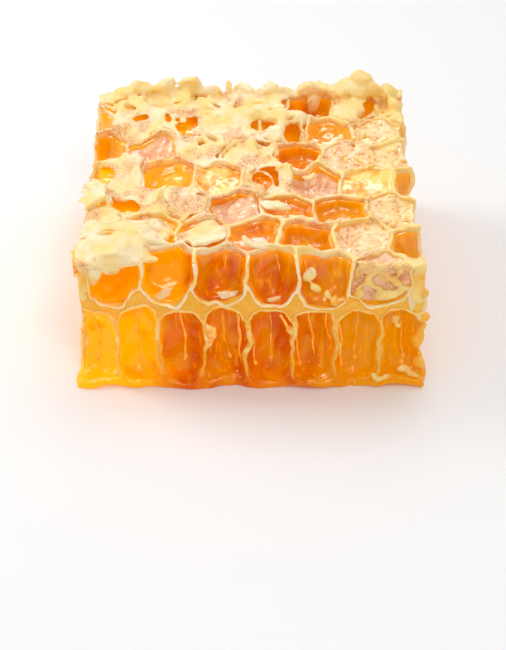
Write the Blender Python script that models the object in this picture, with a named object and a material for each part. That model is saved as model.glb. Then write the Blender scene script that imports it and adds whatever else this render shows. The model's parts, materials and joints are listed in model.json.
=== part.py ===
"""A cut block of comb honey, standing on its underside.

Two layers of wax cells share one midrib. The upper layer has wide cells, the lower layer has
narrow ones, and honey fills both. The four sides are knife cuts through the cells, so they
show open half cells between upright wax ribs. The top shows the mouths of the upper cells:
some are open, some are sealed under wax cappings and some have sunken or broken cappings.
Behind the ribs each layer's honey is one solid.

Metres, +Z up. The origin is the middle of the flat underside and the front faces -Y.
"""

import collections
import itertools
import math
import random

import bmesh
import bpy
from mathutils import Matrix, Vector

# The block. Its foot stands a little proud of its sides, as a lip
WIDTH = 0.0402
DEPTH = 0.0404
TOP_Z = 0.0180
FLARE = 0.0005

# The lip: a rounded square with a soft edge and a slow ripple
LIP_WIDTH = 0.0420
LIP_DEPTH = 0.0418
LIP_SIDES = 48
LIP_SQUARENESS = 14.0
LIP_RIPPLE = 0.006
LIP_RIPPLES = 12
LIP_LEVELS = ((0.0, 0.985), (0.0004, 1.0), (0.0011, 0.985))

# The midrib is the wax floor that both layers of cells stand on
MIDRIB_BOTTOM = 0.0103
MIDRIB_TOP = 0.0125

# Wax walls, and the gap that is left wherever two sub-parts meet
WALL = 0.0006
GAP = 0.0003
TORN_SKIN = 0.0012
RIB_DEPTH = 0.0015
EMBED = 0.0005
TOP_PLATE = 0.0024
BASE_PLATE = 0.0018

# The upper cells lie in rows that lean a little across the block
UPPER_START = Vector((0.0025, -0.0202))
UPPER_STEP = Vector((0.0062, -0.00045))
UPPER_ROW = Vector((0.0040, 0.0059))
UPPER_UNEVEN = 0.0003
UPPER_RECESS = 0.0009

# A cell belongs to its layer when it reaches this far into the block
UPPER_REACH = 0.0018
LOWER_REACH = 0.0014

# Each upper cell ends in a dip in the midrib, each lower one in an arch under it
DIP_STEPS = ((-0.0006, 0.45), (0.0003, 0.78), (0.0016, 0.96), (0.0024, 1.0))
ARCH_FOOT = 0.0096
ARCH_TOP = 0.0111
ARCH_STEPS = ((0.0, 1.0), (0.65, 0.86), (1.0, 0.5))

# The lower cells are narrower
LOWER_START = Vector((0.0022, -0.0200))
LOWER_STEP = Vector((0.0052, 0.0))
LOWER_ROW = Vector((0.0026, 0.0045))
LOWER_UNEVEN = 0.0002
LOWER_RECESS = 0.0005

# How the mouths of the upper cells look, row by row from the front and each from the left:
# o open, h half open, w brimming, s sunken capping, c full capping, k choked with wax
MOUTHS = "cooohk" "ccchosh" "cccwhos" "chscwso" "owccoss" "occcchs" "ccccocc"
HONEY_DEPTH = {"o": 0.0022, "h": 0.0018, "w": 0.0006, "s": 0.0015, "c": 0.0015}
SEALED = "sc"
CAP_THICKNESS = 0.0012
SUNKEN_DEPTH = 0.0008
SUNKEN_SHARE = 0.75
CAPPING_RISE = 0.0005
CAPPING_ROOT = 0.0008
CAPPING_SHARE = 0.6
BITE_SHARE = 0.55
BITE_SHIFT = Vector((0.0009, 0.0006))
EDGE_MARGIN = 0.0001

# Windows torn through the cappings: across and along the block, two widths and a turn
WINDOWS = (
    (-0.0152, -0.0074, 0.0040, 0.0042, 0.6),
    (-0.0086, 0.0100, 0.0018, 0.0034, 0.4),
    (0.0052, 0.0098, 0.0026, 0.0038, 0.1),
    (-0.0194, -0.0006, 0.0042, 0.0046, 0.1),
    (0.0158, 0.0154, 0.0016, 0.0034, 0.1),
)
WINDOW_SIDES = 8
WINDOW_HONEY = 0.0016

# Lumps of torn wax along the back: across the block, two widths and the height over the rims
LUMPS = (
    (-0.0146, 0.0046, 0.0014, 0.0009),
    (-0.0110, 0.0034, 0.0018, 0.0014),
    (-0.0079, 0.0036, 0.0020, 0.0021),
    (0.0025, 0.0034, 0.0016, 0.0011),
    (0.0073, 0.0042, 0.0018, 0.0020),
    (0.0124, 0.0040, 0.0028, 0.0024),
    (0.0147, 0.0038, 0.0030, 0.0042),
    (0.0179, 0.0048, 0.0032, 0.0021),
)
LUMP_SIDES = 8
LUMP_ROOT = 0.0008
LUMP_SHARES = ((0.5, 0.86), (1.0, 0.45))

# How the mouths of the lower cells look on the underside, in turn
UNDERSIDE = "scocsococc"
UNDERSIDE_DEPTH = 0.0006

# Scraps of torn wax stand out from the upright edges at the front
SCRAP_SIZE = Vector((0.0008, 0.0034, 0.0042))
LEFT_SCRAP = (Vector((-0.0201, -0.0180, 0.0160)), -0.25)
RIGHT_SCRAP = (Vector((0.0202, -0.0165, 0.0152)), 0.18)

# Finishes
CREAM = (0.95, 0.78, 0.50)
GOLD = (0.83, 0.45, 0.11)
AMBER = (0.72, 0.17, 0.005)
BRIGHT_AMBER = (0.85, 0.30, 0.005)
WAX_ROUGHNESS = 0.5
HONEY_ROUGHNESS = 0.08

# Seed of the unevenness, how far cutters reach past the wax, and neighbours that can bound a cell
SEED = 11
BEYOND = 0.004
NEIGHBOURS = 12

UPPER_FLOOR = MIDRIB_TOP + GAP
UPPER_CORE_TOP = TOP_Z - TOP_PLATE - GAP
LOWER_CEILING = MIDRIB_BOTTOM - GAP
LOWER_CORE_FLOOR = BASE_PLATE + GAP

Cell = collections.namedtuple("Cell", "mouth centre wax_line honey_line cut")


def clear_scene():
    """Remove whatever the scene holds."""
    for old in list(bpy.data.objects):
        bpy.data.objects.remove(old)


def add_collection(name):
    """A new collection in the scene."""
    made = bpy.data.collections.new(name)
    bpy.context.scene.collection.children.link(made)
    return made


def add_material(name, colour, roughness):
    """A plain finish for one kind of sub-part."""
    made = bpy.data.materials.new(name)
    made.use_nodes = True
    shader = made.node_tree.nodes["Principled BSDF"]
    shader.inputs["Base Color"].default_value = (*colour, 1.0)
    shader.inputs["Roughness"].default_value = roughness
    shader.inputs["Metallic"].default_value = 0.0
    made.diffuse_color = (*colour, 1.0)
    return made


def add_object(bm, name, group, finish=None):
    """Turn a bmesh into a named object. One without a finish is a cutter or a helper."""
    bmesh.ops.recalc_face_normals(bm, faces=bm.faces)
    mesh = bpy.data.meshes.new(name)
    bm.to_mesh(mesh)
    bm.free()
    made = bpy.data.objects.new(name, mesh)
    group.objects.link(made)
    if finish:
        mesh.materials.append(finish)
    else:
        made.hide_render = True
        made.display_type = "WIRE"
    return made


def combine(target, helper, operation):
    """Join helper to target, cut it away, or keep only what the two share."""
    step = target.modifiers.new(f"{operation.lower()} {helper.name}", "BOOLEAN")
    step.operation = operation
    step.solver = "EXACT"
    step.object = helper


def add_block(bm, width, depth, bottom, top, flare=0.0):
    """A block centred on Z. Its foot is wider than its top by flare on every side."""
    for corner in bmesh.ops.create_cube(bm, size=1.0)["verts"]:
        low = corner.co.z < 0.0
        spread = 2.0 * flare if low else 0.0
        corner.co.x *= width + spread
        corner.co.y *= depth + spread
        corner.co.z = bottom if low else top


def add_column(bm, outline, centre, levels):
    """An upright column over an outline. Each level is a height and a share of the width."""
    height, share = levels[0]
    corners = [centre + (corner - centre) * share for corner in outline]
    face = bm.faces.new([bm.verts.new((*corner, height)) for corner in corners])
    for above_foot, (height, next_share) in enumerate(levels[1:]):
        lifted = bmesh.ops.extrude_face_region(bm, geom=[face])["geom"]
        if above_foot:
            bmesh.ops.delete(bm, geom=[face], context="FACES_ONLY")
        face = next(item for item in lifted if isinstance(item, bmesh.types.BMFace))
        for corner in face.verts:
            corner.co.xy = centre + (corner.co.xy - centre) * next_share / share
            corner.co.z = height
        share = next_share


def clip(outline, point, across):
    """The part of a convex outline behind the line through point that is square to across."""
    kept = []
    for start, end in zip(outline, outline[1:] + outline[:1]):
        before = (start - point).dot(across)
        after = (end - point).dot(across)
        if before <= 0.0:
            kept.append(start)
        if before * after < 0.0:
            kept.append(start.lerp(end, before / (before - after)))
    return kept


def clip_to_block(outline, margin):
    """The part of an outline that stands on the block, a margin inside its sides."""
    edge = Vector((WIDTH / 2 - margin, DEPTH / 2 - margin))
    for across in (Vector((1, 0)), Vector((-1, 0)), Vector((0, 1)), Vector((0, -1))):
        outline = clip(outline, edge * across, across)
    return outline


def inward(corner):
    """How far a corner lies in from the nearest side of the block."""
    return min(WIDTH / 2 - abs(corner.x), DEPTH / 2 - abs(corner.y))


def cut_sides(outline):
    """The sides of the block that cut an outline, each as its axis and direction."""
    sides = []
    for axis, half in enumerate((WIDTH / 2, DEPTH / 2)):
        for way in (-1.0, 1.0):
            if sorted(half - way * corner[axis] for corner in outline)[1] < TORN_SKIN:
                sides.append((axis, way))
    return sides


def open_to_side(outline, sides):
    """The outline drawn straight out past the sides that cut it."""
    for axis, way in sides:
        half = (WIDTH, DEPTH)[axis] / 2
        depths = [half - way * corner[axis] for corner in outline]
        deepest = depths.index(max(depths))
        ring = outline[deepest:] + outline[:deepest]
        near = [place for place, corner in enumerate(ring) if half - way * corner[axis] < TORN_SKIN]
        if len(near) < 2:
            continue
        near.sort(key=lambda place: ring[place][1 - axis])
        first, last = sorted((near[0], near[-1]))
        out = Vector((0.0, 0.0))
        out[axis] = way * BEYOND
        outline = [*ring[: first + 1], ring[first] + out, ring[last] + out, *ring[last:]]
    return outline


def outline_of(centre, centres, inset):
    """A cell's outline: halfway to its neighbours, drawn in by inset."""
    near = sorted(centres, key=lambda other: (other - centre).length)
    side = (near[1] - centre).length
    outline = [centre + Vector(corner) * side for corner in ((-1, -1), (1, -1), (1, 1), (-1, 1))]
    for other in near[1 : NEIGHBOURS + 1]:
        across = (other - centre).normalized()
        outline = clip(outline, (centre + other) / 2 - across * inset, across)
    return outline


def lay_out(start, step, row_step, uneven):
    """The centres of one layer's cells, row by row and a little uneven, past every side."""
    draw = random.Random(SEED)
    centres = []
    for row in range(-1, int(DEPTH / row_step.y) + 3):
        first = start + row * row_step
        left = int((-WIDTH / 2 - first.x) // step.x)
        right = int((WIDTH / 2 - first.x) // step.x) + 1
        for column in range(left, right + 1):
            wobble = Vector((draw.uniform(-uneven, uneven), draw.uniform(-uneven, uneven)))
            centres.append(first + column * step + wobble)
    return centres


def cells_of(centres, mouths, reach):
    """The cells of one layer that stand over the block, with their mouths in turn."""
    mouths = iter(mouths)
    cells = []
    for centre in centres:
        wax_line = outline_of(centre, centres, WALL / 2)
        honey_line = outline_of(centre, centres, WALL / 2 + GAP)
        if max(inward(corner) for corner in honey_line) < reach:
            continue
        cut = cut_sides(wax_line)
        wax_line = open_to_side(wax_line, cut)
        honey_line = open_to_side(honey_line, cut)
        cells.append(Cell(next(mouths), centre, wax_line, honey_line, cut))
    return cells


def rounded(centre, across, along, sides, turn=0.0):
    """A rounded outline of the two widths, turned about its centre."""
    outline = []
    for side in range(sides):
        angle = math.tau * (side + 0.5) / sides
        corner = Vector((math.cos(angle) * across / 2, math.sin(angle) * along / 2))
        corner.rotate(Matrix.Rotation(turn, 2))
        outline.append(centre + corner)
    return outline


def bitten(line, centre):
    """A smaller mouth towards one side of a cell, where its capping is torn away."""
    return [centre + BITE_SHIFT + (corner - centre) * BITE_SHARE for corner in line]


def add_upper_hollow(bm, cell):
    """What one upper cell leaves open in the wax."""
    above = TOP_Z + BEYOND
    if cell.mouth == "k":
        return
    if cell.cut:
        ceiling = TOP_Z - CAP_THICKNESS if cell.mouth in SEALED else above
        dip = [(MIDRIB_TOP + rise, share) for rise, share in DIP_STEPS]
        add_column(bm, cell.wax_line, cell.centre, [*dip, (ceiling, 1.0)])
    elif cell.mouth == "s":
        sunken = [(TOP_Z - SUNKEN_DEPTH, SUNKEN_SHARE), (TOP_Z, 1.0), (above, 1.0)]
        add_column(bm, cell.wax_line, cell.centre, sunken)
    elif cell.mouth != "c":
        line = bitten(cell.wax_line, cell.centre) if cell.mouth == "h" else cell.wax_line
        add_column(bm, line, cell.centre, [(UPPER_CORE_TOP - EMBED - GAP, 1.0), (above, 1.0)])


def add_upper_filling(bm, cell):
    """The honey of one upper cell, where it shows."""
    if cell.mouth == "k":
        return
    surface = TOP_Z - HONEY_DEPTH[cell.mouth]
    if cell.cut:
        dip = [(UPPER_FLOOR + rise, share) for rise, share in DIP_STEPS]
        add_column(bm, cell.honey_line, cell.centre, [*dip, (surface, 1.0)])
    elif cell.mouth not in SEALED:
        line = bitten(cell.honey_line, cell.centre) if cell.mouth == "h" else cell.honey_line
        add_column(bm, line, cell.centre, [(UPPER_CORE_TOP - EMBED, 1.0), (surface, 1.0)])


def add_capping(bm, cell):
    """The domed capping of a full cell, above the rims."""
    if cell.mouth == "c":
        line = clip_to_block(cell.wax_line, EDGE_MARGIN)
        levels = [(TOP_Z - CAPPING_ROOT, 1.0), (TOP_Z, 1.0), (TOP_Z + CAPPING_RISE, CAPPING_SHARE)]
        add_column(bm, line, cell.centre, levels)


def add_window_hollow(bm, window):
    """What a window opens in the cappings, down to the honey."""
    across, along, width, depth, turn = window
    centre = Vector((across, along))
    outline = rounded(centre, width, depth, WINDOW_SIDES, turn)
    add_column(bm, outline, centre, [(UPPER_CORE_TOP - EMBED - GAP, 1.0), (TOP_Z + BEYOND, 1.0)])


def add_window_filling(bm, window):
    """The honey that shows in a window."""
    across, along, width, depth, turn = window
    centre = Vector((across, along))
    outline = rounded(centre, width - 2.0 * GAP, depth - 2.0 * GAP, WINDOW_SIDES, turn)
    add_column(bm, outline, centre, [(UPPER_CORE_TOP - EMBED, 1.0), (TOP_Z - WINDOW_HONEY, 1.0)])


def add_lump(bm, lump):
    """A lump of torn wax at the back."""
    across, width, depth, rise = lump
    centre = Vector((across, DEPTH / 2 - depth / 2 - EDGE_MARGIN))
    outline = clip_to_block(rounded(centre, width, depth, LUMP_SIDES), EDGE_MARGIN)
    levels = [(TOP_Z + rise * height, share) for height, share in LUMP_SHARES]
    add_column(bm, outline, centre, [(TOP_Z - LUMP_ROOT, 1.0), *levels])


def add_lower_hollow(bm, cell):
    """What one lower cell leaves open in the wax and under the midrib."""
    if cell.cut:
        arch = [(ARCH_FOOT + rise * (ARCH_TOP - ARCH_FOOT), share) for rise, share in ARCH_STEPS]
        add_column(bm, cell.wax_line, cell.centre, [(BASE_PLATE, 1.0), *arch])
    elif cell.mouth == "o":
        ceiling = LOWER_CORE_FLOOR + EMBED + GAP
        add_column(bm, cell.wax_line, cell.centre, [(-BEYOND, 1.0), (ceiling, 1.0)])
    elif cell.mouth == "s":
        sunken = [(-BEYOND, 1.0), (0.0, 1.0), (UNDERSIDE_DEPTH, SUNKEN_SHARE)]
        add_column(bm, cell.wax_line, cell.centre, sunken)


def add_lower_filling(bm, cell):
    """The honey of one lower cell, where it shows and is deep enough to hold together."""
    if max(inward(corner) for corner in cell.honey_line) < RIB_DEPTH + GAP:
        return
    if cell.cut:
        rises = [(rise * (ARCH_TOP - ARCH_FOOT), share) for rise, share in ARCH_STEPS]
        arch = [(ARCH_FOOT - GAP + rise, share) for rise, share in rises]
        add_column(bm, cell.honey_line, cell.centre, [(LOWER_CORE_FLOOR, 1.0), *arch])
    elif cell.mouth == "o":
        levels = [(UNDERSIDE_DEPTH, 1.0), (LOWER_CORE_FLOOR + EMBED, 1.0)]
        add_column(bm, cell.honey_line, cell.centre, levels)


def gather(add_one, items, name, group):
    """One helper made of what add_one draws for every item."""
    bm = bmesh.new()
    for item in items:
        add_one(bm, item)
    return add_object(bm, name, group)


def block_object(name, group, finish, inset, bottom, top, flare=0.0):
    """A block drawn in from the sides by inset."""
    bm = bmesh.new()
    add_block(bm, WIDTH - 2.0 * inset, DEPTH - 2.0 * inset, bottom, top, flare)
    return add_object(bm, name, group, finish)


def scraps_object(group):
    """The torn scraps of wax on the front's upright edges."""
    bm = bmesh.new()
    for place, tilt in (LEFT_SCRAP, RIGHT_SCRAP):
        turned = Matrix.Translation(place) @ Matrix.Rotation(tilt, 4, "Y")
        bmesh.ops.create_cube(bm, size=1.0, matrix=turned @ Matrix.Diagonal(SCRAP_SIZE).to_4x4())
    return add_object(bm, "scraps", group)


def lip_object(group):
    """The rounded foot that the block stands on."""
    outline = []
    for side in range(LIP_SIDES):
        angle = math.tau * (side + 0.5) / LIP_SIDES
        across, along = math.cos(angle), math.sin(angle)
        ripple = 1.0 + LIP_RIPPLE * math.cos(LIP_RIPPLES * angle)
        squared = abs(across) ** LIP_SQUARENESS + abs(along) ** LIP_SQUARENESS
        reach = ripple / 2.0 / squared ** (1.0 / LIP_SQUARENESS)
        outline.append(Vector((across * LIP_WIDTH, along * LIP_DEPTH)) * reach)
    bm = bmesh.new()
    add_column(bm, outline, Vector((0.0, 0.0)), LIP_LEVELS)
    return add_object(bm, "lip", group)


def build_upper_layer(cells, hollows, cutters, group, wax_finish, honey_finish):
    """The wax and the honey above the midrib."""
    wax = block_object("upper_wax", group, wax_finish, 0.0, UPPER_FLOOR, TOP_Z)
    combine(wax, gather(add_capping, cells, "cappings", cutters), "UNION")
    combine(wax, scraps_object(cutters), "UNION")
    for lump in LUMPS:
        combine(wax, gather(add_lump, [lump], "lump", cutters), "UNION")
    core_inset = RIB_DEPTH - GAP
    core_top = UPPER_CORE_TOP + GAP
    core = block_object("upper_core_hollow", cutters, None, core_inset, MIDRIB_BOTTOM, core_top)
    combine(wax, core, "DIFFERENCE")
    combine(wax, hollows, "DIFFERENCE")
    combine(wax, gather(add_window_hollow, WINDOWS, "windows", cutters), "DIFFERENCE")

    honey = block_object("upper_honey", group, honey_finish, RIB_DEPTH, UPPER_FLOOR, UPPER_CORE_TOP)
    combine(honey, gather(add_upper_filling, cells, "upper_fillings", cutters), "UNION")
    combine(honey, gather(add_window_filling, WINDOWS, "window_fillings", cutters), "UNION")
    limits = block_object("upper_limits", cutters, None, UPPER_RECESS, 0.0, TOP_Z + BEYOND)
    combine(honey, limits, "INTERSECT")


def build_lower_layer(cells, hollows, cutters, group, wax_finish, honey_finish):
    """The wax and the honey below the midrib."""
    wax = block_object("lower_wax", group, wax_finish, 0.0, 0.0, LOWER_CEILING, FLARE)
    combine(wax, lip_object(cutters), "UNION")
    core_inset = RIB_DEPTH - GAP
    core = block_object("lower_core_hollow", cutters, None, core_inset, BASE_PLATE, MIDRIB_TOP, FLARE)
    combine(wax, core, "DIFFERENCE")
    combine(wax, hollows, "DIFFERENCE")

    spans = (LOWER_CORE_FLOOR, LOWER_CEILING)
    honey = block_object("lower_honey", group, honey_finish, RIB_DEPTH, *spans, FLARE)
    combine(honey, gather(add_lower_filling, cells, "lower_fillings", cutters), "UNION")
    limits = block_object("lower_limits", cutters, None, LOWER_RECESS, -BEYOND, MIDRIB_TOP, FLARE)
    combine(honey, limits, "INTERSECT")


def build_midrib(upper_hollows, lower_hollows, group, finish):
    """The wax floor between the layers, with the cells' dips and arches in it."""
    midrib = block_object("midrib", group, finish, 0.0, MIDRIB_BOTTOM, MIDRIB_TOP)
    combine(midrib, upper_hollows, "DIFFERENCE")
    combine(midrib, lower_hollows, "DIFFERENCE")


def main():
    """Build the block of comb."""
    clear_scene()
    group = add_collection("honeycomb_piece")
    cutters = add_collection("cutters")
    cream_wax = add_material("cream_wax", CREAM, WAX_ROUGHNESS)
    golden_wax = add_material("golden_wax", GOLD, WAX_ROUGHNESS)
    amber_honey = add_material("amber_honey", AMBER, HONEY_ROUGHNESS)
    golden_honey = add_material("golden_honey", BRIGHT_AMBER, HONEY_ROUGHNESS)

    upper_centres = lay_out(UPPER_START, UPPER_STEP, UPPER_ROW, UPPER_UNEVEN)
    upper_cells = cells_of(upper_centres, MOUTHS, UPPER_REACH)
    upper_hollows = gather(add_upper_hollow, upper_cells, "upper_hollows", cutters)
    lower_centres = lay_out(LOWER_START, LOWER_STEP, LOWER_ROW, LOWER_UNEVEN)
    lower_cells = cells_of(lower_centres, itertools.cycle(UNDERSIDE), LOWER_REACH)
    lower_hollows = gather(add_lower_hollow, lower_cells, "lower_hollows", cutters)

    build_upper_layer(upper_cells, upper_hollows, cutters, group, cream_wax, amber_honey)
    build_lower_layer(lower_cells, lower_hollows, cutters, group, golden_wax, golden_honey)
    build_midrib(upper_hollows, lower_hollows, group, golden_wax)


if __name__ == "__main__":
    main()
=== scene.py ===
"""The looks of a cut block of comb honey: uneven wax, wet honey, a plain pale stage and a camera.

Every piece is modelled over the block's frame, in metres, +Z up, with the front facing -Y.
"""

import collections
import itertools
import json
import math
import random

import bmesh
import bpy
from bpy.props import FloatProperty, FloatVectorProperty, IntProperty, PointerProperty
from mathutils import Matrix, Vector

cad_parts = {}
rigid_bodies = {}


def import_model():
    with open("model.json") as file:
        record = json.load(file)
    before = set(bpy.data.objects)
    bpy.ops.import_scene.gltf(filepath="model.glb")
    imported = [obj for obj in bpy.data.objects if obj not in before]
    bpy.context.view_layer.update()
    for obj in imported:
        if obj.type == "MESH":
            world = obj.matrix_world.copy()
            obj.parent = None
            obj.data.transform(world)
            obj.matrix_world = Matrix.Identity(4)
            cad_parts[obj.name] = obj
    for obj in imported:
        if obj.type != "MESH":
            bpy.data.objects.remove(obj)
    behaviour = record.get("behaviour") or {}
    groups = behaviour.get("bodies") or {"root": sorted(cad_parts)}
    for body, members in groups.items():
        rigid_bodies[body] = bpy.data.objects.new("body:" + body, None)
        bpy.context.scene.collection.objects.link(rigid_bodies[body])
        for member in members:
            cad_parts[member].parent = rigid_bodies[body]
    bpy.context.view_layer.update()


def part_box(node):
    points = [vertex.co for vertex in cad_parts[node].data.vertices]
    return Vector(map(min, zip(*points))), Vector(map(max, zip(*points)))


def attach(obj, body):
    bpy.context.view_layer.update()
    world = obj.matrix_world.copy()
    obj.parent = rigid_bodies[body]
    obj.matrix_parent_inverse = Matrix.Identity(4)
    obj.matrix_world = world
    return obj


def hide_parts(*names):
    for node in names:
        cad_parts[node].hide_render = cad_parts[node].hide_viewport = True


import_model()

bl_info = {
    "name": "Comb Honey",
    "version": (1, 0, 0),
    "blender": (4, 5, 0),
    "location": "View3D > Sidebar > Comb Honey",
    "description": "Builds a cut block of comb honey with uneven wax and wet honey",
    "category": "Add Mesh",
}

MIDRIB_LOW, MIDRIB_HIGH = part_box("midrib")
MM = 0.001

# The block's straight sides and top, inside its lip, scraps and collar
WIDTH = 40.2 * MM
DEPTH = 40.4 * MM
TOP = 18.0 * MM
BASE = 1.8 * MM
UPPER_FLOOR = MIDRIB_HIGH.z
LOWER_CEILING = MIDRIB_LOW.z

# The upper cells, row by row from the front, in rows that lean a little
UPPER_START = Vector((2.5, -20.2)) * MM
UPPER_STEP = Vector((6.2, -0.45)) * MM
UPPER_ROW = Vector((4.0, 5.9)) * MM
UPPER_UNEVEN = 0.3 * MM

# The narrower lower cells
LOWER_START = Vector((2.2, -20.0)) * MM
LOWER_STEP = Vector((5.2, 0.0)) * MM
LOWER_ROW = Vector((2.6, 4.5)) * MM
LOWER_UNEVEN = 0.2 * MM

WALL = 0.6 * MM
GAP = 0.3 * MM
TORN_SKIN = 1.2 * MM
RIB_DEPTH = 1.5 * MM
CELL_SEED = 11
BEYOND = 4.0 * MM
NEIGHBOURS = 12
CORNERS = ((-1, -1), (1, -1), (1, 1), (-1, 1))

# How far into the block a lower cell has to reach, and how low the wax hangs
SHALLOWEST = 1.4 * MM
FOOT = 0.04 * MM

# Width of the bends in the walls and of the hills in the top
BENDS = 5.0 * MM
HILLS = 3.5 * MM

# o open, h half open, w wet, y a yellow film, s frosted, c full capping, k choked with wax
MOUTHS = "cooohk" "ccchosh" "cccwhos" "chycwyo" "owccoss" "occcchs" "ccccocc"
SEALED = "swyck"

# How far below the top the honey stands in each kind of cell, in millimetres
POOLS = {"o": 2.4, "h": 1.6, "w": 2.1, "y": 1.5, "s": 1.6, "c": 1.5, "k": 1.4}

# The lower cells' mouths, over and over
UNDERSIDE = "scocsococc"

Cell = collections.namedtuple("Cell", "mouth centre border cut")

# Openings in the cappings, in millimetres: across and behind the front, two widths and a turn
TEARS = (
    (-19.0, 19.5, 3.6, 5.5, 0.1),
    (-14.8, 9.6, 3.4, 1.1, 0.2),
    (-15.2, 12.8, 4.0, 4.2, 0.6),
    (-5.5, 15.2, 3.0, 1.1, -0.1),
    (-9.0, 8.8, 1.5, 0.8, 0.2),
    (-9.6, 5.4, 1.2, 1.4, 0.3),
    (-11.3, 22.0, 2.6, 1.5, 0.3),
    (-8.6, 29.5, 1.8, 4.4, 0.4),
    (-15.0, 24.2, 3.6, 1.6, 0.1),
    (-1.0, 26.0, 1.6, 1.0, 0.2),
    (-4.5, 35.6, 1.6, 0.9, 0.1),
    (-1.6, 35.6, 1.8, 0.9, -0.2),
    (5.2, 30.2, 2.6, 4.6, 0.1),
    (5.0, 37.0, 2.2, 2.6, 0.0),
    (1.5, 31.2, 3.8, 1.8, 0.0),
    (-14.6, 33.0, 2.2, 0.9, 0.2),
    (15.8, 36.4, 1.6, 4.4, 0.1),
    (-17.2, 36.6, 2.6, 0.9, 0.5),
    (-0.4, 13.9, 1.8, 0.8, 0.4),
    (-10.6, 21.4, 1.8, 1.6, 0.8),
    (-3.6, 24.2, 1.1, 0.8, 0.3),
    (-2.0, 27.6, 1.6, 0.9, -0.2),
    (-6.2, 27.2, 1.3, 1.0, 0.5),
    (-12.6, 29.9, 2.2, 0.8, -0.3),
    (-15.8, 34.8, 2.0, 0.8, 0.3),
    (-9.8, 36.2, 1.6, 0.7, -0.4),
    (2.6, 27.4, 2.6, 1.4, 0.2),
    (12.2, 30.6, 2.2, 3.2, -0.3),
    (1.2, 36.8, 2.0, 0.7, 0.2),
)

# Lumps of wax, in millimetres: across, behind the front, above the top and three widths
LUMPS = (
    (-17.2, 38.9, 0.2, 4.4, 2.6, 1.8),
    (-14.4, 39.2, 0.5, 4.8, 1.8, 2.0),
    (-11.1, 39.2, 0.9, 3.0, 1.8, 2.8),
    (-7.9, 39.2, 1.3, 3.2, 1.8, 3.4),
    (-5.2, 39.3, 0.3, 3.2, 1.6, 1.8),
    (-2.7, 39.4, 1.0, 0.9, 0.9, 2.8),
    (-0.6, 39.3, 0.3, 3.6, 1.4, 1.8),
    (2.5, 39.3, 0.7, 2.8, 1.6, 2.4),
    (5.0, 39.3, 0.4, 2.6, 1.4, 1.8),
    (-6.6, 39.4, 0.0, 2.0, 1.4, 2.2),
    (8.5, 39.5, -0.5, 2.4, 1.3, 4.2),
    (7.3, 39.2, 1.2, 3.0, 1.6, 3.2),
    (9.4, 39.3, 0.8, 3.0, 1.4, 2.4),
    (11.4, 39.2, 0.9, 2.8, 1.8, 2.6),
    (12.8, 38.9, 1.4, 2.6, 2.6, 3.4),
    (14.7, 38.9, 2.5, 3.0, 2.6, 3.4),
    (14.5, 38.6, 1.0, 3.6, 3.0, 3.0),
    (16.4, 38.4, 1.2, 2.2, 2.4, 2.6),
    (18.2, 38.2, 0.9, 2.8, 3.2, 2.8),
    (19.2, 36.0, 0.4, 1.6, 2.4, 1.8),
    (-10.9, 13.0, 0.4, 0.8, 0.7, 2.0),
    (0.6, 3.6, 0.0, 4.4, 1.8, 0.9),
    (2.6, 11.4, 0.1, 3.6, 2.4, 1.0),
    (7.5, 19.4, -0.2, 2.0, 1.2, 0.7),
    (12.5, 0.4, -1.6, 1.1, 1.0, 2.4),
    (13.9, 0.3, -2.6, 1.1, 1.1, 2.6),
    (15.2, 0.4, -1.7, 1.2, 1.0, 2.2),
    (16.4, 0.3, -2.6, 1.1, 1.0, 2.0),
    (14.4, 0.6, -0.6, 5.2, 1.4, 1.3),
    (12.6, 0.4, -4.6, 1.6, 0.9, 1.2),
    (13.2, 0.3, -1.3, 1.3, 1.0, 1.2),
    (16.9, 0.4, -1.2, 1.2, 1.0, 1.4),
    (12.9, 0.3, -3.6, 0.9, 0.8, 1.1),
    (16.9, 0.3, -3.7, 1.2, 0.9, 1.6),
    (14.7, 0.3, -3.9, 1.0, 0.8, 1.2),
    (15.6, 0.3, -4.9, 2.6, 1.0, 1.5),
    (9.3, 0.2, -4.9, 1.8, 1.1, 1.5),
    (10.6, 0.2, -4.7, 1.4, 1.0, 1.1),
    (8.2, 0.3, -4.1, 0.9, 0.8, 1.0),
    (6.3, 0.5, -2.2, 1.2, 0.9, 2.6),
    (6.9, 0.5, -3.6, 1.0, 0.8, 1.4),
    (18.4, 0.9, -0.9, 2.8, 2.0, 1.8),
    (17.6, 0.4, -3.6, 2.4, 0.9, 0.9),
    (-18.4, 0.7, -1.6, 2.4, 1.1, 2.8),
    (-16.2, 0.6, -1.0, 2.0, 1.0, 1.8),
    (-12.6, 1.4, -0.5, 3.4, 2.0, 1.0),
    (4.3, 0.1, -9.4, 0.8, 0.7, 1.9),
    (17.2, 0.0, -8.2, 1.0, 0.6, 1.5),
    (17.5, -0.1, -9.0, 0.8, 0.6, 0.8),
    (15.4, -0.3, -16.2, 1.6, 0.8, 1.0),
    (16.4, -0.3, -16.6, 1.4, 0.7, 0.9),
    (14.7, -0.3, -15.7, 0.9, 0.6, 0.9),
    (18.3, -0.2, -16.0, 1.6, 0.7, 0.9),
    (19.4, -0.1, -16.6, 1.5, 0.7, 0.7),
    (12.6, -0.2, -17.2, 1.0, 0.6, 0.8),
    (-16.4, 0.3, -16.2, 0.7, 0.6, 0.9),
)

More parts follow.
